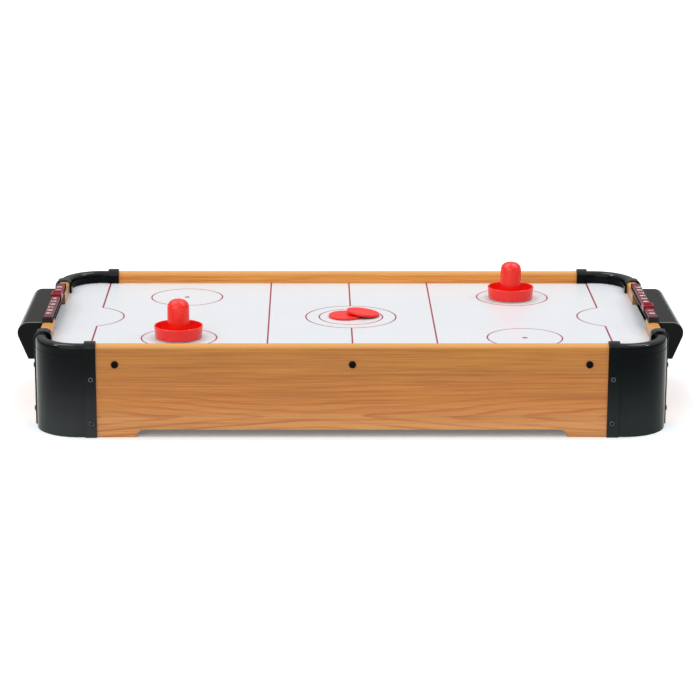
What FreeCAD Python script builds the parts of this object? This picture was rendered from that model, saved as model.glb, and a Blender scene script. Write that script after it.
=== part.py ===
import FreeCAD, Part
import Sketcher
import math
import os

# Tabletop air hockey table. Frame: X along the table, Y across it (front is -Y), Z up.
# The origin is on the floor, at the middle of the table.

X = FreeCAD.Vector(1, 0, 0)
Y = FreeCAD.Vector(0, 1, 0)
Z = FreeCAD.Vector(0, 0, 1)
ORIGIN = FreeCAD.Vector(0, 0, 0)
TO_X = FreeCAD.Rotation(Y, 90)
TO_Y = FreeCAD.Rotation(X, -90)
UPRIGHT = FreeCAD.Rotation()

DIMENSIONS = [
    ("rail_half_width", 182.25, "middle to the outer face of a long panel"),
    ("rail_height", 104.8, "floor to the top of the rails"),
    ("board", 12.7, "thickness of the panel board"),
    ("end_outer", 348.0, "middle to the outer face of an end panel"),
    ("rail_round", 6.1, "rounding of the long panels' top edges"),
    ("end_round", 3.6, "rounding of the end panels' top edges"),
    ("foot_cut", 8.7, "height of the cut-out under a panel, and the radius of its ends"),
    ("long_foot", 237.0, "middle to the inner end of a long panel's foot"),
    ("end_foot", 78.0, "middle to the inner end of an end panel's foot"),
    ("goal_half", 60.0, "half the width of a goal"),
    ("goal_floor", 61.7, "floor to the bottom of a goal's cut-out"),
    ("playfield_top", 91.0, "floor to the playing surface"),
    ("playfield_thick", 3.0, "thickness of the playfield board"),
    ("playfield_corner", 30.0, "corner radius of the playfield board"),
    ("playfield_tongue", 4.7, "how far the playfield reaches into a goal"),
    ("air_hole_pitch", 25.4, "spacing of the air holes"),
    ("air_hole_radius", 0.5, "radius of an air hole"),
    ("batten_high", 18.0, "height of the plenum battens"),
    ("batten_wide", 14.0, "width of the plenum battens"),
    ("cross_batten_at", 112.0, "middle to a cross batten"),
    ("base_thick", 3.0, "thickness of the plenum base"),
    ("shell_outer", 350.0, "middle to the outer face of a corner bracket"),
    ("shell_radius", 50.0, "outer corner radius of a corner bracket"),
    ("shell_inner_radius", 36.0, "inner corner radius of a corner bracket"),
    ("shell_wall", 2.6, "wall of a corner bracket"),
    ("shell_lip", 2.4, "inner lip and stop webs of a corner bracket"),
    ("shell_round", 6.0, "rounding of a corner bracket's top"),
    ("collar_long", 280.0, "middle to a collar's edge, along a long panel"),
    ("collar_end", 116.0, "middle to a collar's edge, along an end panel"),
    ("collar_wide", 13.0, "width of a collar"),
    ("collar_proud", 2.5, "how far a collar stands proud of the rail"),
    ("collar_round", 8.0, "rounding of a collar's top"),
    ("collar_edge", 1.2, "rounding of a collar's end edges"),
    ("slot_gap", 0.2, "gap between a collar and the panel inside it"),
    ("seam_height", 92.5, "height of the seam round a corner bracket"),
    ("bracket_screw_low", 16.4, "height of the lower bracket screws"),
    ("bracket_screw_high", 66.4, "height of the upper bracket screws"),
    ("panel_screw_at", 259.4, "middle to the outer panel screws"),
    ("panel_screw_height", 82.6, "height of the panel screws"),
    ("box_half", 82.0, "half the length of a goal box"),
    ("box_top", 105.3, "top of a goal box"),
    ("box_bottom", 62.0, "bottom of a goal box"),
    ("box_shoulder", 363.0, "middle to the start of a goal box's rounded edge"),
    ("box_round", 13.0, "radius of a goal box's rounded edge"),
    ("box_tangent_out", 375.01, "middle to the end of the rounded edge"),
    ("box_tangent_up", 87.32, "height of the end of the rounded edge"),
    ("box_heel", 364.5, "middle to the foot of a goal box's slanted face"),
    ("box_wall", 2.4, "wall of a goal box"),
    ("box_screw_across", 74.0, "middle to a goal box's screws"),
    ("box_screw_height", 79.0, "height of a goal box's screws"),
    ("scorer_at", 341.6, "middle to the centre line of a scorer"),
    ("scorer_half", 83.0, "half the length of a scorer"),
    ("scorer_wide", 11.6, "width of a scorer's holder"),
    ("scorer_screw_across", 72.0, "middle to a scorer's screws"),
    ("bar_wide", 9.6, "width of a number bar"),
    ("bar_top", 111.2, "top of a number bar"),
    ("bar_thick", 3.0, "thickness of a number bar"),
    ("slider_long", 19.0, "length of a score slider"),
    ("slider_wide", 12.2, "width of a score slider"),
    ("slider_at", 28.5, "a score slider's distance from the middle"),
    ("slider_gap", 0.3, "running gap round a number bar"),
    ("pusher_left_x", -193.7, "position of the left pusher along the table"),
    ("pusher_left_y", -96.5, "position of the left pusher across the table"),
    ("pusher_right_x", 193.0, "position of the right pusher along the table"),
    ("pusher_right_y", 92.0, "position of the right pusher across the table"),
    ("pusher_radius", 27.3, "rim radius of a pusher"),
    ("pusher_rim", 14.7, "height of a pusher's rim"),
    ("pusher_high", 44.0, "height of a pusher"),
    ("handle_radius", 12.3, "radius of a pusher's handle"),
    ("felt_thick", 1.0, "thickness of a pusher's felt"),
    ("puck_radius", 19.25, "radius of a puck"),
    ("puck_thick", 2.8, "thickness of a puck"),
    ("puck_edge", 0.6, "rounding of a puck's edges"),
    ("hover", 0.1, "gap below a piece that glides on the playfield"),
    ("puck_tilt", 7.9, "angle of the leaning puck, in degrees"),
    ("puck_turn", 13.7, "direction in which the leaning puck points down, in degrees"),
    ("fan_size", 92.0, "side of the fan's frame"),
    ("fan_deep", 25.0, "depth of the fan's frame"),
    ("fan_bore", 44.6, "radius of the fan's duct"),
    ("fan_hole_at", 41.25, "middle to the fan's screws, both ways"),
    ("control_at", -200.0, "position of the control plate along the table"),
    ("control_height", 42.0, "height of the control plate's middle"),
    ("lead_radius", 1.5, "radius of the internal leads"),
]

LEAD_HEIGHT = 64.9

doc = FreeCAD.newDocument("air_hockey_table")
sheet = doc.addObject("Spreadsheet::Sheet", "dims")


class Dim:
    """A size with the spreadsheet expression that it comes from."""

    def __init__(self, value, text=None):
        self.value = float(value)
        self.text = text if text else repr(float(value))

    def __add__(self, other):
        other = dim(other)
        return Dim(self.value + other.value, f"({self.text} + {other.text})")

    def __sub__(self, other):
        other = dim(other)
        return Dim(self.value - other.value, f"({self.text} - {other.text})")

    def __mul__(self, other):
        other = dim(other)
        return Dim(self.value * other.value, f"({self.text} * {other.text})")

    def __truediv__(self, other):
        other = dim(other)
        return Dim(self.value / other.value, f"({self.text} / {other.text})")

    def __radd__(self, other):
        return dim(other) + self

    def __rsub__(self, other):
        return dim(other) - self

    def __rmul__(self, other):
        return dim(other) * self

    def __neg__(self):
        return dim(0) - self


def dim(size):
    return size if isinstance(size, Dim) else Dim(size)


class Sizes:
    """The sheet's sizes by name."""


d = Sizes()
for row, (alias, value, meaning) in enumerate(DIMENSIONS, start=1):
    sheet.set(f"A{row}", meaning)
    sheet.set(f"B{row}", str(value))
    sheet.setAlias(f"B{row}", alias)
    setattr(d, alias, Dim(value, f"dims.{alias}"))
doc.recompute()

subparts = []


def bind(item, prop, size):
    item.setExpression(prop, dim(size).text)


def place(item, at, rotation=UPRIGHT):
    item.Placement = FreeCAD.Placement(ORIGIN, rotation)
    for axis, size in zip("xyz", at):
        bind(item, f"Placement.Base.{axis}", size)


def keep(item, label):
    """Marks an object as a sub-part that is written out under this label."""
    item.Label = label
    subparts.append(item)
    return item


# ---- primitives and booleans ----

def block(name, size, centre):
    """A box given by its size and its centre."""
    item = doc.addObject("Part::Box", name)
    for prop, length in zip(("Length", "Width", "Height"), size):
        bind(item, prop, length)
    place(item, [dim(c) - dim(s) / 2 for c, s in zip(centre, size)])
    return item


def slab(name, low, high):
    """A box given by its lowest and highest corners."""
    size = [dim(b) - dim(a) for a, b in zip(low, high)]
    item = doc.addObject("Part::Box", name)
    for prop, length in zip(("Length", "Width", "Height"), size):
        bind(item, prop, length)
    place(item, low)
    return item


def rod(name, axis, radius, length, start):
    """A cylinder that starts at a point and runs along a row axis."""
    item = doc.addObject("Part::Cylinder", name)
    bind(item, "Radius", radius)
    bind(item, "Height", length)
    place(item, start, {"x": TO_X, "y": TO_Y, "z": UPRIGHT}[axis])
    return item


def fuse(name, items):
    item = doc.addObject("Part::MultiFuse", name)
    item.Shapes = items
    return item


def cut(name, base, tools):
    item = doc.addObject("Part::Cut", name)
    item.Base = base
    item.Tool = tools[0] if len(tools) == 1 else fuse(name + "_tools", tools)
    return item


def common(name, base, tool):
    item = doc.addObject("Part::Common", name)
    item.Base = base
    item.Tool = tool
    return item


def mirrored(name, source, normal):
    item = doc.addObject("Part::Mirroring", name)
    item.Source = source
    item.Base = ORIGIN
    item.Normal = normal
    return item


def rounded(name, base, radius, wanted):
    """Rounds the edges of a primitive that pass the test."""
    doc.recompute()
    item = doc.addObject("Part::Fillet", name)
    item.Base = base
    size = dim(radius).value
    item.Edges = [
        (index, size, size)
        for index, edge in enumerate(base.Shape.Edges, start=1)
        if wanted(edge)
    ]
    return item


def runs_along(edge, axis):
    ends = [v.Point for v in edge.Vertexes]
    return len(ends) == 2 and abs((ends[1] - ends[0]).normalize().dot(axis)) > 0.999


def at_height(edge, height):
    return all(abs(v.Z - height) < 0.01 for v in edge.Vertexes)


def feature(label, shape):
    """A sub-part whose shape is set directly, from sizes read from the sheet."""
    item = doc.addObject("Part::Feature", label)
    item.Shape = shape
    return keep(item, label)


# ---- bodies, sketches and their features ----

def new_body(name):
    return doc.addObject("PartDesign::Body", name)


def new_sketch(body, plane, height=0):
    """A sketch on one of the body's own origin planes, moved along its normal."""
    sketch = body.newObject("Sketcher::SketchObject", body.Name + "_sketch")
    planes = {f.Role: f for f in body.Origin.OriginFeatures}
    sketch.AttachmentSupport = [(planes[plane], "")]
    sketch.MapMode = "FlatFace"
    bind(sketch, "AttachmentOffset.Base.z", height)
    return sketch


def pin_down(sketch, geometry, end, u, v):
    """Binds one point of a sketch to two sizes."""
    for kind, size in (("DistanceX", u), ("DistanceY", v)):
        index = sketch.addConstraint(Sketcher.Constraint(kind, geometry, end, size.value))
        sketch.setExpression(f"Constraints[{index}]", size.text)


def set_radius(sketch, geometry, radius):
    index = sketch.addConstraint(Sketcher.Constraint("Radius", geometry, radius.value))
    sketch.setExpression(f"Constraints[{index}]", radius.text)


def arc_between(p, q, radius):
    """The minor arc from p to q, turning left for a positive radius and right for a negative one."""
    if radius < 0:
        return arc_between(q, p, -radius)
    chord = q - p
    half = chord.Length / 2
    rise = math.sqrt(max(radius * radius - half * half, 0.0))
    left = FreeCAD.Vector(-chord.y, chord.x, 0).normalize()
    centre = (p + q) * 0.5 + left * rise
    angles = [math.atan2(e.y - centre.y, e.x - centre.x) for e in (p, q)]
    return Part.ArcOfCircle(Part.Circle(centre, Z, radius), *angles)


def outline(body, plane, path, height=0):
    """A closed sketch. Each step is (u, v), or (u, v, radius) where an arc leads to that point."""
    sketch = new_sketch(body, plane, height)
    steps = [tuple(dim(size) for size in step) for step in path]
    starts = steps[-1:] + steps[:-1]
    tails = []
    for index, (start, step) in enumerate(zip(starts, steps)):
        p = FreeCAD.Vector(start[0].value, start[1].value, 0)
        q = FreeCAD.Vector(step[0].value, step[1].value, 0)
        if len(step) == 3:
            sketch.addGeometry(arc_between(p, q, step[2].value))
            tails.append((1, 2) if step[2].value > 0 else (2, 1))
        else:
            sketch.addGeometry(Part.LineSegment(p, q))
            tails.append((1, 2))
    count = len(steps)
    for index, step in enumerate(steps):
        following = (index + 1) % count
        sketch.addConstraint(
            Sketcher.Constraint("Coincident", index, tails[index][1], following, tails[following][0])
        )
        pin_down(sketch, index, tails[index][1], step[0], step[1])
        if len(step) == 3:
            set_radius(sketch, index, step[2] if step[2].value > 0 else -step[2])
    return sketch


def circles(body, plane, centres, radius, height=0):
    sketch = new_sketch(body, plane, height)
    for index, (u, v) in enumerate(centres):
        middle = FreeCAD.Vector(dim(u).value, dim(v).value, 0)
        sketch.addGeometry(Part.Circle(middle, Z, dim(radius).value))
        pin_down(sketch, index, 3, dim(u), dim(v))
        set_radius(sketch, index, dim(radius))
    return sketch


def pad(body, sketch, length, both_ways=False):
    item = body.newObject("PartDesign::Pad", body.Name + "_pad")
    item.Profile = sketch
    item.Midplane = both_ways
    bind(item, "Length", length)
    return item


def pocket(body, sketch, length, both_ways=False, upward=False):
    item = body.newObject("PartDesign::Pocket", body.Name + "_pocket")
    item.Profile = sketch
    item.Midplane = both_ways
    item.Reversed = upward
    bind(item, "Length", length)
    return item


def revolve(body, sketch):
    item = body.newObject("PartDesign::Revolution", body.Name + "_turn")
    item.Profile = sketch
    item.ReferenceAxis = (sketch, ["V_Axis"])
    item.Angle = 360
    return item


def soften(body, base, radius, wanted):
    """A fillet on the edges of the body's last feature that pass the test."""
    doc.recompute()
    names = [f"Edge{i}" for i, e in enumerate(base.Shape.Edges, start=1) if wanted(e)]
    item = body.newObject("PartDesign::Fillet", body.Name + "_fillet")
    item.Base = (base, names)
    bind(item, "Radius", radius)
    return item


# ---- sizes worked out from the sheet ----

PLAY_X = d.end_outer - d.board
PLAY_Y = d.rail_half_width - d.board
PANEL_LONG = d.collar_long + d.collar_wide - d.shell_lip - d.slot_gap
PANEL_END = d.collar_end + d.collar_wide - d.shell_lip - d.slot_gap
BATTEN_TOP = d.playfield_top - d.playfield_thick
BASE_TOP = BATTEN_TOP - d.batten_high
BASE_BOTTOM = BASE_TOP - d.base_thick
SCREW_FROM_EDGE = 5.5
LONG_SCREW = d.collar_long + SCREW_FROM_EDGE
END_SCREW = d.collar_end + SCREW_FROM_EDGE
CONTROL_REBATE = 2.0
PILOT = 1.45


# ---- panels ----

def foot_line(half, foot):
    """The lower edge of a panel: two feet and the hollow between them."""
    top = d.foot_cut
    return [
        (-half, 0), (-foot, 0), (top - foot, top, -top),
        (foot - top, top), (foot, 0, -top), (half, 0),
    ]


def panel(name, path, half, radius, angle, at):
    """A board in its own XZ plane, outer face towards its own -Y, turned into place."""
    body = new_body(name)
    board = pad(body, outline(body, "XZ_Plane", path), d.board, both_ways=True)
    top = d.rail_height.value
    soften(body, board, radius, lambda e: runs_along(e, X) and at_height(e, top))
    place(body, at, FreeCAD.Rotation(Z, angle))
    for height in (d.bracket_screw_low, d.bracket_screw_high):
        holes = circles(body, "XZ_Plane", [(-half, height), (half, height)], PILOT, d.board / 2)
        pocket(body, holes, 11.6)
    return body


def long_panel(label, angle, y):
    half = PANEL_LONG
    path = foot_line(half, d.long_foot) + [(half, d.rail_height), (-half, d.rail_height)]
    body = panel(label, path, LONG_SCREW, d.rail_round, angle, (0, y, 0))
    spots = [(d.panel_screw_at * side, d.panel_screw_height) for side in (-1, 0, 1)]
    holes = circles(body, "XZ_Plane", spots, 2.05, d.board / 2)
    pocket(body, holes, d.board * 2, both_ways=True)
    return body


def end_panel(label, angle, x):
    half = PANEL_END
    path = foot_line(half, d.end_foot) + [
        (half, d.rail_height), (d.goal_half, d.rail_height), (d.goal_half, d.goal_floor),
        (-d.goal_half, d.goal_floor), (-d.goal_half, d.rail_height), (-half, d.rail_height),
    ]
    body = panel(label, path, END_SCREW, d.end_round, angle, (x, 0, 0))
    spots = [(side * d.box_screw_across, d.box_screw_height) for side in (-1, 1)]
    pocket(body, circles(body, "XZ_Plane", spots, 1.75), d.board * 2, both_ways=True)
    pocket(body, circles(body, "XZ_Plane", spots, 3.6, -d.board / 2), 2.6, upward=True)
    return body


keep(long_panel("front_panel", 0, d.board / 2 - d.rail_half_width), "front_panel")

back_blank = long_panel("back_blank", 180, d.rail_half_width - d.board / 2)
rebate = slab(
    "control_rebate",
    (d.control_at - 32.2, d.rail_half_width - CONTROL_REBATE, d.control_height - 16.2),
    (d.control_at + 32.2, d.rail_half_width + 1, d.control_height + 16.2),
)
window = slab(
    "control_window",
    (d.control_at - 23, PLAY_Y - 1, d.control_height - 11),
    (d.control_at + 23, d.rail_half_width, d.control_height + 11),
)
control_pilots = [
    rod(f"control_pilot_{side}", "y", 1.25, 10, (d.control_at + 28 * side, d.rail_half_width - 11,
                                                 d.control_height))
    for side in (-1, 1)
]
keep(cut("back_panel", back_blank, [rebate, window] + control_pilots), "back_panel")

end_blanks = {
    "right": end_panel("right_blank", 90, d.end_outer - d.board / 2),
    "left": end_panel("left_blank", -90, d.board / 2 - d.end_outer),
}
for side, blank in end_blanks.items():
    sign = 1 if side == "right" else -1
    pilots = [
        rod(f"scorer_pilot_{side}_{row}", "z", 1.05, 12,
            (d.scorer_at * sign, d.scorer_screw_across * row, d.rail_height - 11))
        for row in (-1, 1)
    ]
    keep(cut(f"{side}_end_panel", blank, pilots), f"{side}_end_panel")


# ---- corner brackets ----

def bracket_shell():
    """The curved wall with its rolled top, in the +X +Y corner."""
    body = new_body("bracket_shell")
    outer_x, outer_y = d.shell_outer, d.rail_half_width
    start_x = PANEL_LONG + d.slot_gap
    start_y = PANEL_END + d.slot_gap
    turn_x, turn_y = outer_x - d.shell_radius, outer_y - d.shell_radius
    bend_x, bend_y = PLAY_X - d.shell_inner_radius, PLAY_Y - d.shell_inner_radius
    wall, lip = d.shell_wall, d.shell_lip

    def outer(grow, first_x, first_y):
        return [
            (first_x, outer_y + grow), (turn_x, outer_y + grow),
            (outer_x + grow, turn_y, -(d.shell_radius + grow)), (outer_x + grow, first_y),
        ]

    def inner_of_wall(depth, first_x, first_y):
        return [
            (outer_x - depth, first_y), (outer_x - depth, turn_y),
            (turn_x, outer_y - depth, d.shell_radius - depth), (first_x, outer_y - depth),
        ]

    def inner_of_rail(grow, first_x, first_y):
        return [
            (PLAY_X + grow, first_y), (PLAY_X + grow, bend_y),
            (bend_x, PLAY_Y + grow, d.shell_inner_radius + grow), (first_x, PLAY_Y + grow),
        ]

    roll_bottom = d.playfield_top
    plan = outer(dim(0), start_x, start_y) + inner_of_wall(wall, start_x, start_y)
    pad(body, outline(body, "XY_Plane", plan), roll_bottom + 4)
    plan = outer(dim(0), start_x, start_y) + inner_of_rail(dim(0), start_x, start_y)
    roll = pad(body, outline(body, "XY_Plane", plan, roll_bottom), d.rail_height - roll_bottom)
    top = d.rail_height.value
    ends = (start_x.value, start_y.value)
    soften(body, roll, d.shell_round, lambda e: at_height(e, top) and not (
        all(abs(v.X - ends[0]) < 0.01 for v in e.Vertexes)
        or all(abs(v.Y - ends[1]) < 0.01 for v in e.Vertexes)))
    hollow_x, hollow_y = start_x + lip, start_y + lip
    plan = outer(-wall, hollow_x, hollow_y) + inner_of_rail(lip, hollow_x, hollow_y)
    hollow = outline(body, "XY_Plane", plan, roll_bottom)
    pocket(body, hollow, d.rail_height - roll_bottom - 3, upward=True)
    for low, high in (
        ((start_x, PLAY_Y), (hollow_x, outer_y)),
        ((PLAY_X, start_y), (outer_x, hollow_y)),
    ):
        web = [(low[0], low[1]), (high[0], low[1]), (high[0], high[1]), (low[0], high[1])]
        pad(body, outline(body, "XY_Plane", web), roll_bottom + 4)
    seam = dim(0.4)
    first_x, first_y = d.collar_long + d.collar_wide - 1, d.collar_end + d.collar_wide - 1
    plan = outer(dim(1), first_x, first_y) + inner_of_wall(seam, first_x, first_y)
    pocket(body, outline(body, "XY_Plane", plan, d.seam_height + seam), seam * 2)
    return body


def collar(name, low, high, slot_low, slot_high, along):
    """A band round the end of a panel, and the tools that open it for the panel and the playfield."""
    top = d.rail_height + d.collar_proud
    band = slab(name, (*low, 0), (*high, top))
    band = rounded(name + "_round", band, d.collar_round,
                   lambda e: runs_along(e, along) and at_height(e, top.value))
    ends = [along.x * low[0].value + along.y * low[1].value,
            along.x * high[0].value + along.y * high[1].value]
    band = rounded(name + "_edges", band, d.collar_edge, lambda e: not at_height(e, 0) and any(
        all(abs(v.Point.dot(along) - end) < 0.01 for v in e.Vertexes) for end in ends))
    slot_top = d.rail_height + d.slot_gap
    radius = d.rail_round if along is X else d.end_round
    slot = slab(name + "_slot", (*slot_low, -1), (*slot_high, slot_top))
    slot = rounded(name + "_slot_round", slot, radius,
                   lambda e: runs_along(e, along) and at_height(e, slot_top.value))
    return band, slot


gap = d.slot_gap
long_band, long_slot = collar(
    "long_collar",
    (d.collar_long, PLAY_Y - d.collar_proud),
    (d.collar_long + d.collar_wide, d.rail_half_width + d.collar_proud),
    (d.collar_long - 1, PLAY_Y - gap), (PANEL_LONG + gap / 2, d.rail_half_width + gap), X,
)
end_band, end_slot = collar(
    "end_collar",
    (PLAY_X - d.collar_proud, d.collar_end),
    (d.shell_outer + d.collar_proud, d.collar_end + d.collar_wide),
    (PLAY_X - gap, d.collar_end - 1), (d.end_outer + gap, PANEL_END + gap / 2), Y,
)
under_long = slab(
    "under_long_collar", (d.collar_long - 1, PLAY_Y - 10, -1),
    (d.collar_long + d.collar_wide + 1, PLAY_Y, d.playfield_top),
)
under_end = slab(
    "under_end_collar", (PLAY_X - 10, d.collar_end - 1, -1),
    (PLAY_X, d.collar_end + d.collar_wide + 1, d.playfield_top),
)
collar_holes = []
for level in ("low", "high"):
    height = getattr(d, f"bracket_screw_{level}")
    collar_holes += [
        rod(f"long_collar_hole_{level}", "y", 1.6, 8, (LONG_SCREW, d.rail_half_width - 4, height)),
        rod(f"end_collar_hole_{level}", "x", 1.6, 10, (d.end_outer - 4, END_SCREW, height)),
    ]
bracket_blank = fuse("bracket_blank", [bracket_shell(), long_band, end_band])
back_right = keep(
    cut("bracket", bracket_blank, [long_slot, end_slot, under_long, under_end] + collar_holes),
    "corner_bracket_back_right",
)
front_right = keep(mirrored("front_right", back_right, Y), "corner_bracket_front_right")
keep(mirrored("back_left", back_right, X), "corner_bracket_back_left")
keep(mirrored("front_left", front_right, X), "corner_bracket_front_left")


# ---- playfield and air chamber ----

def plan_block(name, bottom, top):
    """A block of the playfield's outline, between two heights."""
    blank = slab(name, (-PLAY_X, -PLAY_Y, bottom), (PLAY_X, PLAY_Y, top))
    return rounded(name + "_plan", blank, d.playfield_corner, lambda e: runs_along(e, Z))


def air_holes():
    """The grid of air holes, as one compound of cylinders."""
    pitch, radius = d.air_hole_pitch.value, d.air_hole_radius.value
    depth = d.playfield_thick.value + 2
    low = BATTEN_TOP.value - 1
    columns, rows = range(-12, 13), range(-5, 6)
    return Part.makeCompound([
        Part.makeCylinder(radius, depth, FreeCAD.Vector(column * pitch, row * pitch, low))
        for column in columns for row in rows
    ])


drill = doc.addObject("Part::Feature", "air_hole_drills")
drill.Shape = air_holes()
tongue = d.goal_half - gap
sheet_blank = fuse("playfield_blank", [
    plan_block("playfield_sheet", BATTEN_TOP, d.playfield_top),
    slab("playfield_tongues", (-PLAY_X - d.playfield_tongue, -tongue, BATTEN_TOP),
         (PLAY_X + d.playfield_tongue, tongue, d.playfield_top)),
])
keep(cut("playfield", sheet_blank, [drill]), "playfield")

for name, sign in (("front", -1), ("back", 1)):
    edge = PLAY_Y * sign
    inner = (PLAY_Y - d.batten_wide) * sign
    low, high = (edge, inner) if sign < 0 else (inner, edge)
    bar = slab(f"{name}_bar", (-PLAY_X, low, BASE_TOP), (PLAY_X, high, BATTEN_TOP))
    shaped = common(f"{name}_bar_plan", bar, plan_block(f"{name}_bar_block", BASE_TOP, BATTEN_TOP))
    pilots = [
        rod(f"{name}_pilot_{row}", "y", PILOT, 13.2,
            (d.panel_screw_at * row, edge if sign < 0 else edge - 13.2, d.panel_screw_height))
        for row in (-1, 0, 1)
    ] + [
        rod(f"{name}_base_pilot_{spot}", "z", 1.25, 11, (spot, (PLAY_Y - 7) * sign, BASE_TOP))
        for spot in (-230, -80, 80, 230)
    ]
    keep(cut(f"{name}_batten", shaped, pilots), f"{name}_batten")

for name, sign in (("left", -1), ("right", 1)):
    low_x, high_x = sorted((PLAY_X * sign, (PLAY_X - d.batten_wide) * sign), key=lambda s: s.value)
    across = PLAY_Y - d.batten_wide
    bar = slab(f"{name}_bar", (low_x, -across, BASE_TOP), (high_x, across, BATTEN_TOP))
    pilots = [
        rod(f"{name}_base_pilot", "z", 1.25, 11, ((PLAY_X - 7) * sign, 0, BASE_TOP)),
    ]
    keep(cut(f"{name}_batten", bar, pilots), f"{name}_batten")

    middle = d.cross_batten_at * sign
    bar = block(f"{name}_cross", (d.batten_wide, across * 2, d.batten_high),
                (middle, 0, BASE_TOP + d.batten_high / 2))
    passages = [
        slab(f"{name}_passage_{number}", (middle - 10, y - 16, BASE_TOP - 1),
             (middle + 10, y + 16, BASE_TOP + 10))
        for number, y in enumerate((-120, -60, 0, 60, 120))
    ]
    keep(cut(f"{name}_cross_batten", bar, passages), f"cross_batten_{name}")

base_holes = [rod("fan_opening", "z", d.fan_bore - 0.6, 6, (0, 0, BASE_BOTTOM - 1))]
base_holes += [
    rod(f"fan_screw_hole_{i}{j}", "z", 2.15, 6,
        (d.fan_hole_at * i, d.fan_hole_at * j, BASE_BOTTOM - 1))
    for i in (-1, 1) for j in (-1, 1)
]
base_spots = [(x, (PLAY_Y - 7) * sign) for x in (-230, -80, 80, 230) for sign in (-1, 1)]
base_spots += [((PLAY_X - 7) * sign, dim(0)) for sign in (-1, 1)]
base_holes += [
    rod(f"base_screw_hole_{index}", "z", 1.6, 6, (x, y, BASE_BOTTOM - 1))
    for index, (x, y) in enumerate(base_spots)
]
keep(cut("plenum_base", plan_block("plenum_base_blank", BASE_BOTTOM, BASE_TOP), base_holes),
     "plenum_base")


# ---- goal boxes ----

def goal_box():
    """The puck catcher outside the right-hand end panel."""
    body = new_body("goal_hood")
    inner_x, top, bottom = d.end_outer, d.box_top, d.box_bottom
    out, up = d.box_tangent_out, d.box_tangent_up
    path = [
        (inner_x, bottom), (d.box_heel, bottom), (out, up),
        (d.box_shoulder, top, d.box_round), (inner_x, top),
    ]
    hood = pad(body, outline(body, "XZ_Plane", path), d.box_half * 2, both_ways=True)
    end = d.box_half.value
    soften(body, hood, 1.2, lambda e: all(
        abs(abs(v.Y) - end) < 0.01 and v.X > inner_x.value - 0.01 for v in e.Vertexes)
        and not all(abs(v.X - inner_x.value) < 0.01 for v in e.Vertexes))
    wall = d.box_wall
    centre_x, centre_z = d.box_shoulder, top - d.box_round
    inner_out = out - wall * (out - centre_x) / d.box_round
    inner_up = up - wall * (up - centre_z) / d.box_round
    slope = (out - d.box_heel) / (up - bottom)
    heel = inner_out - (inner_up - bottom - wall) * slope
    path = [
        (inner_x - 1, bottom + wall), (heel, bottom + wall), (inner_out, inner_up),
        (centre_x, top - wall, d.box_round - wall), (inner_x - 1, top - wall),
    ]
    pocket(body, outline(body, "XZ_Plane", path), (d.box_half - wall) * 2, both_ways=True)
    bosses = [
        rod(f"goal_boss_{side}", "x", 3.4, 22, (inner_x, d.box_screw_across * side, d.box_screw_height))
        for side in (-1, 1)
    ]
    throat = d.goal_half - d.slot_gap - 0.1
    mouth = PLAY_X + d.playfield_tongue + 0.3
    throat_parts = [
        slab("goal_throat_floor", (mouth, -throat, bottom), (inner_x + 1, throat, bottom + wall)),
    ]
    for side in (-1, 1):
        low, high = sorted((throat * side, (throat - wall) * side), key=lambda size: size.value)
        throat_parts.append(slab(f"goal_throat_side_{side}", (mouth, low, bottom),
                                 (inner_x + 1, high, d.playfield_top)))
    blank = fuse("goal_box_blank", [body] + bosses + throat_parts)
    pilots = [
        rod(f"goal_pilot_{side}", "x", 1.25, 13,
            (inner_x - 1, d.box_screw_across * side, d.box_screw_height))
        for side in (-1, 1)
    ]
    hand_hole = slab("goal_hand_hole", (360, -45, 67), (380, 45, 85))
    hand_hole = rounded("goal_hand_hole_round", hand_hole, 6, lambda e: runs_along(e, X))
    return cut("goal_box", blank, pilots + [hand_hole])


right_box = keep(goal_box(), "goal_box_right")
keep(mirrored("left_box", right_box, X), "goal_box_left")


# ---- scorers ----

BASE_PLATE = 1.6
WEB_WIDE = 4.6
STOP_LONG = 3.0

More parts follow.
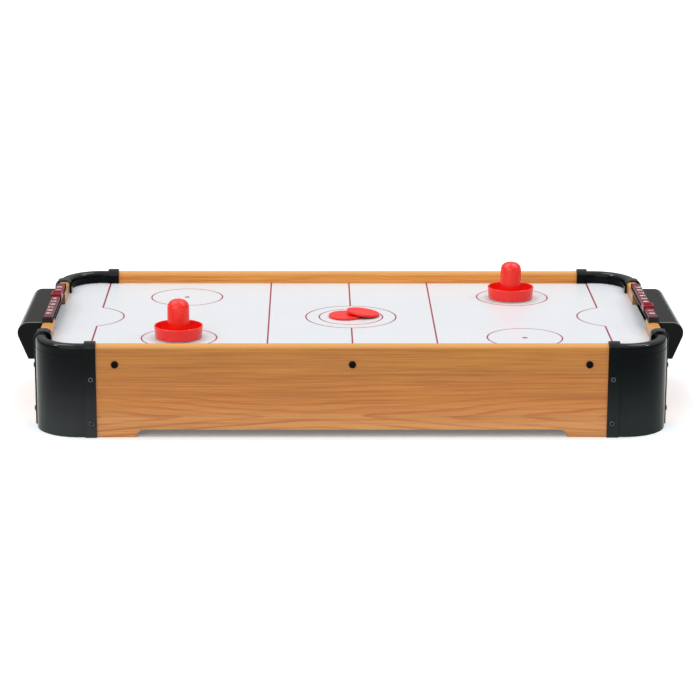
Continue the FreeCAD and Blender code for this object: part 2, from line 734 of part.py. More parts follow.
for name, sign in (("left", -1), ("right", 1)):
    middle = d.scorer_at * sign
    plate_top = d.rail_height + BASE_PLATE
    bar_bottom = d.bar_top - d.bar_thick
    half = d.scorer_half
    pieces = [
        slab(f"{name}_plate", (middle - d.scorer_wide / 2, -half, d.rail_height),
             (middle + d.scorer_wide / 2, half, plate_top)),
        slab(f"{name}_web", (middle - WEB_WIDE / 2, -half, plate_top),
             (middle + WEB_WIDE / 2, half, bar_bottom)),
    ]
    for row in (-1, 1):
        stop = block(f"{name}_stop_{row}", (d.scorer_wide, STOP_LONG, d.bar_top - d.rail_height),
                     (middle, (half - STOP_LONG / 2) * row, (d.bar_top + d.rail_height) / 2))
        pieces.append(rounded(f"{name}_stop_round_{row}", stop, 0.5,
                              lambda e: at_height(e, d.bar_top.value)))
    holes = []
    for row in (-1, 1):
        spot = (middle, d.scorer_screw_across * row)
        holes += [
            rod(f"{name}_hole_{row}", "z", 1.35, 8, (*spot, d.rail_height - 1)),
            rod(f"{name}_sink_{row}", "z", 2.6, 4, (*spot, bar_bottom - 1.7)),
        ]
    keep(cut(f"{name}_holder", fuse(f"{name}_holder_blank", pieces), holes), f"scorer_holder_{name}")

    bar = block(f"{name}_bar_blank", (d.bar_wide, (half - STOP_LONG) * 2, d.bar_thick),
                (middle, 0, bar_bottom + d.bar_thick / 2))
    keep(rounded(f"{name}_number_bar", bar, 0.6,
                 lambda e: runs_along(e, Y) and at_height(e, d.bar_top.value)), f"number_bar_{name}")

    slider = new_body(f"{name}_slider")
    side, free = d.slider_wide / 2, d.slider_gap
    grip = d.bar_wide / 2 + free
    throat = WEB_WIDE / 2 + free
    low, ledge, roof = plate_top + free, bar_bottom - free, d.bar_top + free
    crown = roof + 1.8
    path = [
        (side, low), (side, crown - 0.8), (side - 0.8, crown, 0.8),
        (0.8 - side, crown), (-side, crown - 0.8, 0.8), (-side, low),
        (-throat, low), (-throat, ledge), (-grip, ledge), (-grip, roof),
        (grip, roof), (grip, ledge), (throat, ledge), (throat, low),
    ]
    pad(slider, outline(slider, "XZ_Plane", path), d.slider_long, both_ways=True)
    for y in (-3.2, 3.2):
        ridge = [(-side + 1.4, crown - 0.4), (side - 1.4, crown - 0.4), (side - 1.8, crown + 0.9),
                 (-side + 1.8, crown + 0.9)]
        pad(slider, outline(slider, "XZ_Plane", ridge, y), 1.8, both_ways=True)
    place(slider, (middle, -d.slider_at * sign, 0))
    keep(slider, f"score_slider_{name}")


# ---- pushers and pucks ----

def pusher(label, x, y):
    body = new_body(label)
    rim, handle, foot = d.pusher_radius, d.handle_radius, d.felt_thick
    skin, floor = 1.8, 3.2
    dome = 9.0
    shoulder = d.pusher_high - dome
    bore = handle - 2.1
    path = [
        (bore, foot), (rim - 1.8, foot), (rim - 1.0, foot + 0.8, 0.8),
        (rim, d.pusher_rim - 0.9), (rim - 0.9, d.pusher_rim, 0.9), (rim - skin, d.pusher_rim - 0.9, 0.9),
        (rim - skin - 0.8, floor + 1.5), (rim - skin - 2.3, floor, -1.5),
        (handle + 2.3, floor), (handle + 0.3, floor + 2, -2.0), (handle, shoulder),
        (handle - dome, d.pusher_high, dome), (0, d.pusher_high),
        (0, d.pusher_high - 2.1), (handle - dome, d.pusher_high - 2.1),
        (bore, shoulder, 2.1 - dome),
    ]
    revolve(body, outline(body, "XZ_Plane", path))
    place(body, (x, y, d.playfield_top + d.hover))
    return keep(body, label)


def puck(label):
    body = new_body(label)
    radius, thick, edge = d.puck_radius, d.puck_thick, d.puck_edge
    path = [
        (0, 0), (radius - edge, 0), (radius, edge, edge), (radius, thick - edge),
        (radius - edge, thick, edge), (radius - 2.2, thick), (radius - 2.8, thick - 0.25),
        (0, thick - 0.25),
    ]
    revolve(body, outline(body, "XZ_Plane", path))
    return keep(body, label)


for name, x, y in (
    ("left", d.pusher_left_x, d.pusher_left_y), ("right", d.pusher_right_x, d.pusher_right_y),
):
    pusher(f"pusher_{name}", x, y)
    level = d.playfield_top + d.hover
    pad_disc = rod(f"{name}_felt_disc", "z", d.pusher_radius - 2.4, d.felt_thick, (x, y, level))
    pad_hole = rod(f"{name}_felt_hole", "z", d.handle_radius - 0.4, d.felt_thick + 2,
                   (x, y, level - 1))
    keep(cut(f"{name}_felt", pad_disc, [pad_hole]), f"pusher_felt_{name}")

place(puck("puck_flat"), (-5.5, 0, d.playfield_top + d.hover))
leaning = puck("puck_leaning")
lift = (d.puck_radius.value - d.puck_edge.value) * math.sin(math.radians(d.puck_tilt.value))
lean = FreeCAD.Rotation(Z, d.puck_turn.value).multiply(FreeCAD.Rotation(Y, d.puck_tilt.value))
place(leaning, (15, 5, d.playfield_top + d.hover + lift), lean)


# ---- fan ----

FAN_TOP = BASE_BOTTOM
FAN_BOTTOM = BASE_BOTTOM - d.fan_deep
HUB_RADIUS = 18.0
BLADES = 7
GUARD_THICK = 2.2


def square_plate(name, bottom, top):
    half = d.fan_size / 2
    plate = slab(name, (-half, -half, bottom), (half, half, top))
    return rounded(name + "_round", plate, 4.5, lambda e: runs_along(e, Z))


def four_corners(name, radius, bottom, length):
    return [
        rod(f"{name}_{i}{j}", "z", radius, length, (d.fan_hole_at * i, d.fan_hole_at * j, bottom))
        for i in (-1, 1) for j in (-1, 1)
    ]


def fan_frame():
    flange = 3.6
    duct = fuse("fan_duct", [
        square_plate("fan_flange_top", FAN_TOP - flange, FAN_TOP),
        square_plate("fan_flange_bottom", FAN_BOTTOM, FAN_BOTTOM + flange),
        rod("fan_tube", "z", d.fan_size / 2, d.fan_deep, (0, 0, FAN_BOTTOM)),
    ])
    bored = cut("fan_bored", duct, [
        rod("fan_bore_tool", "z", d.fan_bore, d.fan_deep + 2, (0, 0, FAN_BOTTOM - 1)),
    ] + four_corners("fan_flange_hole", 2.2, FAN_BOTTOM - 1, d.fan_deep + 2))
    arm_size = (d.fan_bore * 2 + 1, 5, 2.6)
    arms = [block(f"fan_arm_{angle}", arm_size, (0, 0, FAN_TOP - 1.8)) for angle in (0, 90)]
    arms[1].Placement.Rotation = FreeCAD.Rotation(Z, 90)
    bind(arms[1], "Placement.Base.x", 2.5)
    bind(arms[1], "Placement.Base.y", -arm_size[0] / 2)
    seat = rod("fan_seat", "z", 17, 2.6, (0, 0, FAN_TOP - 3.1))
    sleeve = rod("fan_sleeve", "z", 5.2, 14, (0, 0, FAN_TOP - 16.9))
    whole = fuse("fan_frame_blank", [bored, *arms, seat, sleeve])
    bearing_seat = rod("fan_bearing_seat", "z", 4.0, 15, (0, 0, FAN_TOP - 17.9))
    return cut("fan_frame", whole, [bearing_seat])


def blade(angle):
    """One twisted blade, lofted between three flat sections."""
    wires = []
    for reach, chord, pitch in ((17.0, 17.0, 50.0), (30.0, 22.0, 40.0), (44.5, 26.0, 32.0)):
        lean = math.radians(pitch)
        along = FreeCAD.Vector(0, math.cos(lean), math.sin(lean))
        thick = FreeCAD.Vector(0, -math.sin(lean), math.cos(lean))
        middle = FreeCAD.Vector(reach, 0, FAN_BOTTOM.value + 11.2)
        corners = [
            middle + along * (chord / 2 * i) + thick * (0.75 * j)
            for i, j in ((-1, -1), (1, -1), (1, 1), (-1, 1), (-1, -1))
        ]
        wires.append(Part.makePolygon(corners))
    shape = Part.makeLoft(wires, True, False)
    shape.rotate(ORIGIN, Z, angle)
    return shape


def impeller():
    low = FAN_BOTTOM.value + 3
    tip = d.fan_bore.value - 1.2
    cup = Part.makeCylinder(HUB_RADIUS, 17.5, FreeCAD.Vector(0, 0, low))
    cup = cup.cut(Part.makeCylinder(HUB_RADIUS - 1.6, 17, FreeCAD.Vector(0, 0, low + 2)))
    boss = Part.makeCylinder(4, 4, FreeCAD.Vector(0, 0, low))
    sweep = Part.makeCylinder(tip, 40, FreeCAD.Vector(0, 0, low - 10))
    blades = [blade(360.0 * index / BLADES).common(sweep) for index in range(BLADES)]
    shape = cup.multiFuse([boss] + blades)
    bore = Part.makeCylinder(1.5, 3, FreeCAD.Vector(0, 0, low + 1))
    return shape.cut(bore).removeSplitter()


keep(fan_frame(), "fan_frame")
feature("fan_impeller", impeller())
shaft_low = FAN_BOTTOM + 4
keep(rod("shaft", "z", 1.5, 17.5, (0, 0, shaft_low)), "fan_shaft")
bearing_blank = rod("bearing_blank", "z", 4.0, 14, (0, 0, FAN_TOP - 16.9))
bearing_bore = rod("bearing_bore", "z", 1.55, 16, (0, 0, FAN_TOP - 17.9))
keep(cut("bearing", bearing_blank, [bearing_bore]), "fan_bearing")
stator_blank = rod("stator_blank", "z", 12.0, 10.5, (0, 0, FAN_TOP - 15))
stator_bore = rod("stator_bore", "z", 5.2, 12, (0, 0, FAN_TOP - 15.5))
keep(cut("stator", stator_blank, [stator_bore]), "fan_stator")
magnet_blank = rod("magnet_blank", "z", HUB_RADIUS - 1.6, 12, (0, 0, FAN_BOTTOM + 6))
magnet_bore = rod("magnet_bore", "z", 13.2, 14, (0, 0, FAN_BOTTOM + 5))
keep(cut("magnet", magnet_blank, [magnet_bore]), "fan_magnet")


def fan_guard():
    low = FAN_BOTTOM - GUARD_THICK
    pieces = [rod("guard_centre", "z", 9.5, GUARD_THICK, (0, 0, low))]
    for number, radius in enumerate((17.0, 25.0, 33.0, 41.5)):
        ring = rod(f"guard_ring_{number}", "z", radius + 1.2, GUARD_THICK, (0, 0, low))
        hole = rod(f"guard_gap_{number}", "z", radius - 1.2, GUARD_THICK + 2, (0, 0, low - 1))
        pieces.append(cut(f"guard_band_{number}", ring, [hole]))
    reach = d.fan_hole_at * 2 * math.sqrt(2)
    for angle in (45, 135):
        bar = doc.addObject("Part::Box", f"guard_bar_{angle}")
        for prop, size in (("Length", reach), ("Width", 5.0), ("Height", GUARD_THICK)):
            bind(bar, prop, size)
        turn = FreeCAD.Rotation(Z, angle)
        half = FreeCAD.Vector(reach.value / 2, 2.5, 0)
        corner = turn.multVec(half * -1)
        place(bar, (corner.x, corner.y, low), turn)
        pieces.append(bar)
    pieces += four_corners("guard_ear", 5.2, low, GUARD_THICK)
    holes = four_corners("guard_hole", 2.2, low - 1, GUARD_THICK + 2)
    return cut("fan_guard", fuse("guard_blank", pieces), holes)


keep(fan_guard(), "fan_guard")


# ---- control plate, switch and power inlet ----

PLATE_FACE = d.rail_half_width
SWITCH_AT = d.control_at - 9
INLET_AT = d.control_at + 14
LEVEL = d.control_height
PIVOT_DEPTH = 0.65
ROCKER_REST = -8.0

plate = block("control_plate_blank", (64, CONTROL_REBATE, 32),
              (d.control_at, PLATE_FACE - CONTROL_REBATE / 2, LEVEL))
plate = rounded("control_plate_round", plate, 3, lambda e: runs_along(e, Y))
plate_holes = [
    block("switch_cutout", (19, 6, 12.8), (SWITCH_AT, PLATE_FACE, LEVEL)),
    rod("inlet_cutout", "y", 4.0, 6, (INLET_AT, PLATE_FACE - 4, LEVEL)),
]
plate_holes += [
    rod(f"plate_screw_hole_{side}", "y", 1.6, 6, (d.control_at + 28 * side, PLATE_FACE - 4, LEVEL))
    for side in (-1, 1)
]
keep(cut("control_plate", plate, plate_holes), "control_plate")

switch_front = PLATE_FACE + 1.6
switch_parts = [
    slab("switch_bezel", (SWITCH_AT - 10.5, PLATE_FACE, LEVEL - 7.5),
         (SWITCH_AT + 10.5, switch_front, LEVEL + 7.5)),
    slab("switch_case", (SWITCH_AT - 9.4, PLATE_FACE - 17, LEVEL - 6.3),
         (SWITCH_AT + 9.4, PLATE_FACE, LEVEL + 6.3)),
]
switch_hollow = [
    slab("switch_well", (SWITCH_AT - 8, PLATE_FACE - 6, LEVEL - 4.5),
         (SWITCH_AT + 8, switch_front + 1, LEVEL + 4.5)),
    rod("switch_pivot_hole", "z", 1.05, 10.8, (SWITCH_AT, PLATE_FACE - PIVOT_DEPTH, LEVEL - 5.4)),
]
keep(cut("switch", fuse("switch_blank", switch_parts), switch_hollow), "switch_body")

rocker = new_body("rocker")
rocker_path = [
    (-3, -3.6), (3, -3.6), (7.2, 0.4), (7.2, 3.0), (0, 2.2), (-7.2, 3.0), (-7.2, 0.4),
]
pad(rocker, outline(rocker, "XY_Plane", rocker_path), 8.4, both_ways=True)
pad(rocker, circles(rocker, "XY_Plane", [(0, 0)], 1.0), 10.4, both_ways=True)
place(rocker, (SWITCH_AT, PLATE_FACE - PIVOT_DEPTH, LEVEL), FreeCAD.Rotation(Z, ROCKER_REST))
keep(rocker, "switch_rocker")

inlet_flange = rod("inlet_flange", "y", 5.5, 1.8, (INLET_AT, PLATE_FACE, LEVEL))
inlet_barrel = rod("inlet_barrel", "y", 3.9, 15, (INLET_AT, PLATE_FACE - 14, LEVEL))
inlet_bore = rod("inlet_bore", "y", 2.75, 10, (INLET_AT, PLATE_FACE - 8, LEVEL))
inlet_pin = rod("inlet_pin", "y", 1.0, 9, (INLET_AT, PLATE_FACE - 9, LEVEL))
inlet_shell = cut("inlet_shell", fuse("inlet_blank", [inlet_flange, inlet_barrel]), [inlet_bore])
keep(fuse("inlet", [inlet_shell, inlet_pin]), "power_inlet")

nut = doc.addObject("Part::Prism", "nut_blank")
nut.Polygon = 6
bind(nut, "Circumradius", 5.8)
bind(nut, "Height", 2.4)
place(nut, (INLET_AT, PLATE_FACE - CONTROL_REBATE - 2.4, LEVEL), TO_Y)
nut_bore = rod("nut_bore", "y", 3.9, 6, (INLET_AT, PLATE_FACE - CONTROL_REBATE - 4, LEVEL))
keep(cut("inlet_nut", nut, [nut_bore]), "power_inlet_nut")


# ---- leads and clips ----

def lead_path(points):
    """Straight runs joined by tangent arcs, each as large as its two runs allow."""
    points = [FreeCAD.Vector(*(dim(c).value for c in p)) for p in points]
    edges, here = [], points[0]
    for before, corner, after in zip(points, points[1:], points[2:]):
        back, ahead = (before - corner), (after - corner)
        shorter = min(back.Length, ahead.Length)
        back.normalize()
        ahead.normalize()
        turn = math.pi - back.getAngle(ahead)
        cut_back = 0.45 * shorter
        radius = cut_back / math.tan(turn / 2)
        start, end = corner + back * cut_back, corner + ahead * cut_back
        inward = (back + ahead).normalize()
        centre = corner + inward * math.hypot(cut_back, radius)
        edges.append(Part.LineSegment(here, start).toShape())
        edges.append(Part.Arc(start, centre - inward * radius, end).toShape())
        print(f"lead bend radius {radius:.1f} mm")
        here = end
    edges.append(Part.LineSegment(here, points[-1]).toShape())
    return Part.Wire(edges)


def lead(label, points):
    path = lead_path(points)
    start = path.Edges[0]
    direction = start.tangentAt(start.FirstParameter)
    section = Part.Wire(Part.makeCircle(d.lead_radius.value, path.Vertexes[0].Point, direction))
    shape = path.makePipeShell([section], True, True)
    expected = math.pi * d.lead_radius.value ** 2 * path.Length
    print(f"{label}: length {path.Length:.1f} mm, volume ratio {shape.Volume / expected:.4f}")
    return feature(label, shape)


switch_back = PLATE_FACE - 17
inlet_back = PLATE_FACE - 14
lead("fan_lead", [
    (SWITCH_AT - 4, switch_back, LEVEL), (SWITCH_AT - 4, switch_back - 14, LEVEL),
    (SWITCH_AT - 4, 128, 54), (-212, 106, LEAD_HEIGHT), (-212, 64, LEAD_HEIGHT),
    (-192, 42, LEAD_HEIGHT), (-142, 33, LEAD_HEIGHT), (-92, 33, LEAD_HEIGHT),
    (-62, 28, 62), (-46, 26, 56),
])
lead("inlet_lead", [
    (INLET_AT, inlet_back, LEVEL), (INLET_AT, inlet_back - 14, LEVEL),
    (INLET_AT - 5, inlet_back - 25, LEVEL), (SWITCH_AT + 8, inlet_back - 25, LEVEL),
    (SWITCH_AT + 4, inlet_back - 14, LEVEL), (SWITCH_AT + 4, switch_back, LEVEL),
])

clip_shapes = []
for x, y, axis in ((-212, 85, Y), (-117, 33, X)):
    middle = FreeCAD.Vector(x, y, LEAD_HEIGHT)
    half = FreeCAD.Vector(4, 4, 2.6)
    low = middle - half
    height = BASE_BOTTOM.value - low.z
    body = Part.makeBox(8, 8, height, low)
    hole = Part.makeCylinder(d.lead_radius.value + 0.05, 10, middle - axis * 5, axis)
    clip_shapes.append(body.cut(hole))
feature("lead_clips", Part.makeCompound(clip_shapes))


# ---- fasteners ----

def screw(at, direction, head_radius, head_high, shank_radius, length):
    """A pan-head screw with a cross recess. Its head sits on the point and faces the direction."""
    head = Part.makeCylinder(head_radius, head_high)
    rim = [e for e in head.Edges if e.Closed and e.BoundBox.ZMin > head_high - 0.01]
    head = head.makeFillet(head_high * 0.55, rim)
    shank = Part.makeCylinder(shank_radius, length - shank_radius, FreeCAD.Vector(0, 0, 0), -Z)
    point = Part.makeCone(shank_radius, 0.2, shank_radius,
                          FreeCAD.Vector(0, 0, shank_radius - length), -Z)
    shape = head.multiFuse([shank, point])
    slot = head_radius * 0.34
    deep = head_high * 0.6
    for size in ((head_radius * 1.15, slot), (slot, head_radius * 1.15)):
        corner = FreeCAD.Vector(-size[0] / 2, -size[1] / 2, head_high - deep)
        shape = shape.cut(Part.makeBox(size[0], size[1], deep + 1, corner))
    shape.Placement = FreeCAD.Placement(
        FreeCAD.Vector(*(dim(c).value for c in at)), FreeCAD.Rotation(Z, direction))
    return shape


def screws(label, places, *sizes):
    return feature(label, Part.makeCompound([screw(at, way, *sizes) for at, way in places]))


corners = [(i, j) for i in (-1, 1) for j in (-1, 1)]
levels = (d.bracket_screw_low, d.bracket_screw_high)
collar_face_y = d.rail_half_width + d.collar_proud
collar_face_x = d.shell_outer + d.collar_proud
screws("bracket_screws", [
    ((LONG_SCREW * i, collar_face_y * j, level), Y * j) for i, j in corners for level in levels
] + [
    ((collar_face_x * i, END_SCREW * j, level), X * i) for i, j in corners for level in levels
], 3.0, 1.7, 1.4, 13.5)
screws("panel_screws", [
    ((d.panel_screw_at * i, d.rail_half_width * j, d.panel_screw_height), Y * j)
    for i in (-1, 0, 1) for j in (-1, 1)
], 4.0, 2.2, 1.4, 25)
screws("plenum_base_screws", [((x, y, BASE_BOTTOM), -Z) for x, y in base_spots], 3.2, 1.9, 1.2, 13)
screws("goal_box_screws", [
    (((PLAY_X + 2.6) * i, d.box_screw_across * j, d.box_screw_height), -X * i) for i, j in corners
], 3.3, 1.9, 1.2, 21)
screws("scorer_screws", [
    ((d.scorer_at * i, d.scorer_screw_across * j, d.bar_top - d.bar_thick - 1.7), Z) for i, j in corners
], 2.3, 1.4, 1.0, 12)
screws("control_plate_screws", [
    ((d.control_at + 28 * side, PLATE_FACE, LEVEL), Y) for side in (-1, 1)
], 2.8, 1.6, 1.2, 11)
screws("fan_screws", [
    ((d.fan_hole_at * i, d.fan_hole_at * j, FAN_BOTTOM - GUARD_THICK), -Z) for i, j in corners
], 3.8, 2.4, 2.0, 35)

nut_shapes = []
for i, j in corners:
    spot = FreeCAD.Vector(d.fan_hole_at.value * i, d.fan_hole_at.value * j, BASE_TOP.value)
    hexagon = [spot + FreeCAD.Rotation(Z, 60 * k).multVec(X * 4.04) for k in range(7)]
    prism = Part.Face(Part.makePolygon(hexagon)).extrude(Z * 3.2)
    nut_shapes.append(prism.cut(Part.makeCylinder(2.05, 5, spot - Z)))
feature("fan_nuts", Part.makeCompound(nut_shapes))


# ---- write the sub-parts ----

doc.recompute()
for item in doc.Objects:
    if "Invalid" in item.State or "Error" in item.State:
        raise RuntimeError(f"{item.Label} failed: {item.State}")
os.makedirs("parts", exist_ok=True)
for item in subparts:
    shape = item.Shape
    if shape.isNull() or not shape.isValid() or not shape.Solids:
        raise RuntimeError(f"{item.Label} has no valid shape")
    shape.exportStep(f"parts/{item.Label}.step")
    print(f"{item.Label}: {len(shape.Solids)} solid(s), {shape.Volume / 1000:.1f} cm3")
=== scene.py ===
import math

import bpy
from mathutils import Matrix, Vector


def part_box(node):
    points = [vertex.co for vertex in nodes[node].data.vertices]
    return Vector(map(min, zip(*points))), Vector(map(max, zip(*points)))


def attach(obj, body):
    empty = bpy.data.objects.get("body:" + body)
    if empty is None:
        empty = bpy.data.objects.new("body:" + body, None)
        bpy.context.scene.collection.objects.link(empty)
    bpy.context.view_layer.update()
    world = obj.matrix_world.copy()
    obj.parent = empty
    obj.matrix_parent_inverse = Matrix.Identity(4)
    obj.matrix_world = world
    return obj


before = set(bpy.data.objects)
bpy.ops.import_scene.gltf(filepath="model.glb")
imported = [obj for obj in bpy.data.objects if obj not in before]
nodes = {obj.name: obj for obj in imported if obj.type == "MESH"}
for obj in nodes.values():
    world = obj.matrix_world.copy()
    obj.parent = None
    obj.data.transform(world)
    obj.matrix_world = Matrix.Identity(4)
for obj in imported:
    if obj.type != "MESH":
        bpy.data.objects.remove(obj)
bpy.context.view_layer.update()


# ---- shader node helpers ----

class Field:
    """A value that varies over a surface. Arithmetic on it adds math nodes."""

    def __init__(self, paint, socket):
        self.paint = paint
        self.socket = socket

    def __add__(self, other):
        return self.paint.math("ADD", self, other)

    def __sub__(self, other):
        return self.paint.math("SUBTRACT", self, other)

    def __rsub__(self, other):
        return self.paint.math("SUBTRACT", other, self)

    def __mul__(self, other):
        return self.paint.math("MULTIPLY", self, other)

    def abs(self):
        return self.paint.math("ABSOLUTE", self)

    def root(self):
        return self.paint.math("SQRT", self)

    def fraction(self):
        return self.paint.math("FRACT", self)

    def clamp(self):
        return self.paint.math("MAXIMUM", self.paint.math("MINIMUM", self, 1.0), 0.0)

    def above(self, limit):
        return self.paint.math("GREATER_THAN", self, limit)

    def below(self, limit):
        return self.paint.math("LESS_THAN", self, limit)

    def at_most(self, other):
        return self.paint.math("MINIMUM", self, other)

    def at_least(self, other):
        return self.paint.math("MAXIMUM", self, other)

    def ramp(self, low, high):
        """0 below low, 1 above high, and smooth between."""
        return self.paint.ramp(self, low, high)


class Paint:
    """A material under construction, with the object's own coordinates in metres."""

    def __init__(self, name):
        self.material = bpy.data.materials.new(name)
        self.material.use_nodes = True
        self.tree = self.material.node_tree
        self.tree.nodes.clear()
        output = self.tree.nodes.new("ShaderNodeOutputMaterial")
        self.shader = self.tree.nodes.new("ShaderNodeBsdfPrincipled")
        self.link(self.shader.outputs["BSDF"], output.inputs["Surface"])
        self.position = self.tree.nodes.new("ShaderNodeTexCoord").outputs["Object"]
        split = self.tree.nodes.new("ShaderNodeSeparateXYZ")
        self.link(self.position, split.inputs[0])
        self.x, self.y, self.z = (Field(self, s) for s in split.outputs)

    def link(self, source, target):
        self.tree.links.new(source, target)

    def feed(self, value, target):
        """Link a field to a socket, or set a plain number on it."""
        if isinstance(value, Field):
            self.link(value.socket, target)
        else:
            target.default_value = value

    def math(self, operation, a, b=None):
        node = self.tree.nodes.new("ShaderNodeMath")
        node.operation = operation
        self.feed(a, node.inputs[0])
        if b is not None:
            self.feed(b, node.inputs[1])
        return Field(self, node.outputs[0])

    def ramp(self, value, low, high):
        node = self.tree.nodes.new("ShaderNodeMapRange")
        node.interpolation_type = "SMOOTHSTEP"
        self.feed(value, node.inputs["Value"])
        node.inputs["From Min"].default_value = low
        node.inputs["From Max"].default_value = high
        return Field(self, node.outputs["Result"])

    def vector(self, x, y, z):
        node = self.tree.nodes.new("ShaderNodeCombineXYZ")
        for value, target in zip((x, y, z), node.inputs):
            self.feed(value, target)
        return node.outputs[0]

    def noise(self, scale, detail=2.0, roughness=0.5, at=None, distortion=0.0):
        """Noise from 0 to 1, at the object's own position unless told otherwise."""
        node = self.tree.nodes.new("ShaderNodeTexNoise")
        self.link(at or self.position, node.inputs["Vector"])
        node.inputs["Scale"].default_value = scale
        node.inputs["Detail"].default_value = detail
        node.inputs["Roughness"].default_value = roughness
        node.inputs["Distortion"].default_value = distortion
        return Field(self, node.outputs[0])

    def mix(self, factor, low, high):
        """A colour between two colours. Either may be a mixed colour itself."""
        node = self.tree.nodes.new("ShaderNodeMix")
        node.data_type = "RGBA"
        self.feed(factor, node.inputs["Factor"])
        for value, target in zip((low, high), (node.inputs["A"], node.inputs["B"])):
            if isinstance(value, bpy.types.NodeSocket):
                self.link(value, target)
            else:
                target.default_value = (*value, 1)
        return node.outputs["Result"]

    def bump(self, height, strength, distance):
        node = self.tree.nodes.new("ShaderNodeBump")
        node.inputs["Strength"].default_value = strength
        node.inputs["Distance"].default_value = distance
        self.link(height.socket, node.inputs["Height"])
        self.link(node.outputs[0], self.shader.inputs["Normal"])

    def facing(self):
        """The surface's own direction, as three fields."""
        split = self.tree.nodes.new("ShaderNodeSeparateXYZ")
        geometry = self.tree.nodes.new("ShaderNodeNewGeometry")
        self.link(geometry.outputs["True Normal"], split.inputs[0])
        return [Field(self, s) for s in split.outputs]

    def finish(self, color, rough, **constants):
        """The finished material. The constants are set on the shader's own sockets."""
        self.link(color, self.shader.inputs["Base Color"])
        self.feed(rough, self.shader.inputs["Roughness"])
        for name, value in constants.items():
            self.shader.inputs[name.replace("_", " ")].default_value = value
        return self.material


def srgb(*levels):
    """A colour given as 0 to 255 levels, as the linear values that shaders take."""
    return tuple(
        c / 12.92 if c <= 0.04045 else ((c + 0.055) / 1.055) ** 2.4
        for c in (level / 255 for level in levels)
    )


# ---- materials ----

def wood_foil(name, along_x, seed, waist, tone):
    """Printed cherry foil on a board: streaks above, pointed arches below, raw where it is cut.

    waist is the place along the board from which the arches point both ways.
    tone scales how light the print is, with a whitish sheen that grows with it: painted light and
    painted sheen, giving lit and shaded copies of one foil."""
    p = Paint(name)
    along, across = (p.x, p.y) if along_x else (p.y, p.x)
    arch_height, blunt_tip, blunt_waist = 0.0235, 0.002, 0.02
    steepness, rings_per_metre, first_ring = 11.5, 11.9, 0.43
    crest_start, crest_full = 0.0985, 0.1035
    notch_top = 0.095

    wander = p.noise(1.0, 3, 0.5, p.vector(along * 7.0 + seed, across * 2.0, p.z * 34.0)) - 0.5
    height = p.z - arch_height + wander * 0.010
    fan = (height * height + blunt_tip ** 2).root() * steepness
    side = along - waist
    spread = (side * side + blunt_waist ** 2).root() * (1.0 - p.z.ramp(0.036, 0.088) * 0.85)
    rings = (fan - spread) * rings_per_metre + wander * 0.7 + first_ring
    tooth = rings.fraction()
    late = tooth.ramp(0.5, 0.95) * (1.0 - tooth.ramp(0.95, 1.0))
    extra = (rings * 3.1 + wander * 2.2).fraction().ramp(0.45, 0.9) * p.z.ramp(0.022, 0.055)

    patch = p.noise(1.0, 2, 0.5, p.vector(along * 9.0, across + seed, p.z * 90.0)).ramp(0.32, 0.7)
    fine = p.noise(1.0, 5, 0.68, p.vector(along * 9.0 + seed, across * 3.0, p.z * 760.0))
    band = p.noise(1.0, 2, 0.5, p.vector(along * 4.0 + seed, across * 2.0, p.z * 120.0))
    pore_at = p.vector(along * 90.0, across * 9.0 + seed, p.z * 2400.0)
    pores = p.noise(1.0, 2, 0.5, pore_at).ramp(0.64, 0.8)

    # A paler band along the rounded top edge: painted highlight, and partly the foil's own paler
    # wrap there.
    painted_crest_highlight = srgb(204, 148, 82)
    # tone and the whitish sheen that grows with it are painted light and painted sheen, for how
    # the light falls on each panel.
    painted_sheen, brightest = (tone - 1.0) * 0.045, 0.95
    low, middle, high = (
        tuple(min(level * tone + painted_sheen, brightest) for level in srgb(*levels))
        for levels in ((206, 145, 86), (190, 121, 50), (180, 118, 42))
    )
    dark, red, pore = (
        tuple(level * tone for level in srgb(*levels))
        for levels in ((148, 88, 26), (164, 82, 32), (126, 70, 24))
    )
    # Lighter towards the bottom: partly the foil's own tone, partly painted light from the floor.
    ground = p.mix(p.z.ramp(0.008, 0.045), low, middle)
    ground = p.mix(p.z.ramp(0.045, 0.09), ground, high)
    upper = p.z.ramp(0.03, 0.07) * 0.35 + 0.5
    ground = p.mix((fine.ramp(0.4, 0.68) + band.ramp(0.45, 0.7) * 0.5) * upper, ground, dark)
    ground = p.mix(extra * (patch * 0.55 + 0.1), ground, dark)
    fading = 1.0 - p.z.ramp(0.045, 0.09) * 0.6
    lines = p.mix(late * (patch * 0.62 + 0.2) * fading, ground, red)
    # The paler crest band is a painted highlight along the rounded top edge.
    foil = p.mix(p.z.ramp(crest_start, crest_full) * 0.9, p.mix(pores * 0.18, lines, pore), painted_crest_highlight)

    speck = p.noise(900.0, 2, 0.6)
    raw = p.mix(speck.ramp(0.3, 0.7), srgb(122, 92, 56), srgb(150, 116, 74))
    nx, ny, nz = p.facing()
    end_cut = (nx if along_x else ny).abs().above(0.7)
    under_cut = nz.below(-0.5)
    notch_floor = nz.above(0.9) * p.z.below(notch_top)
    color = p.mix((end_cut + under_cut + notch_floor).clamp(), foil, raw)
    p.bump(fine * 0.6 + late * 0.3, 0.06, 0.0002)
    return p.finish(color, fine * 0.08 + 0.18, IOR=1.48, Specular_IOR_Level=0.38)


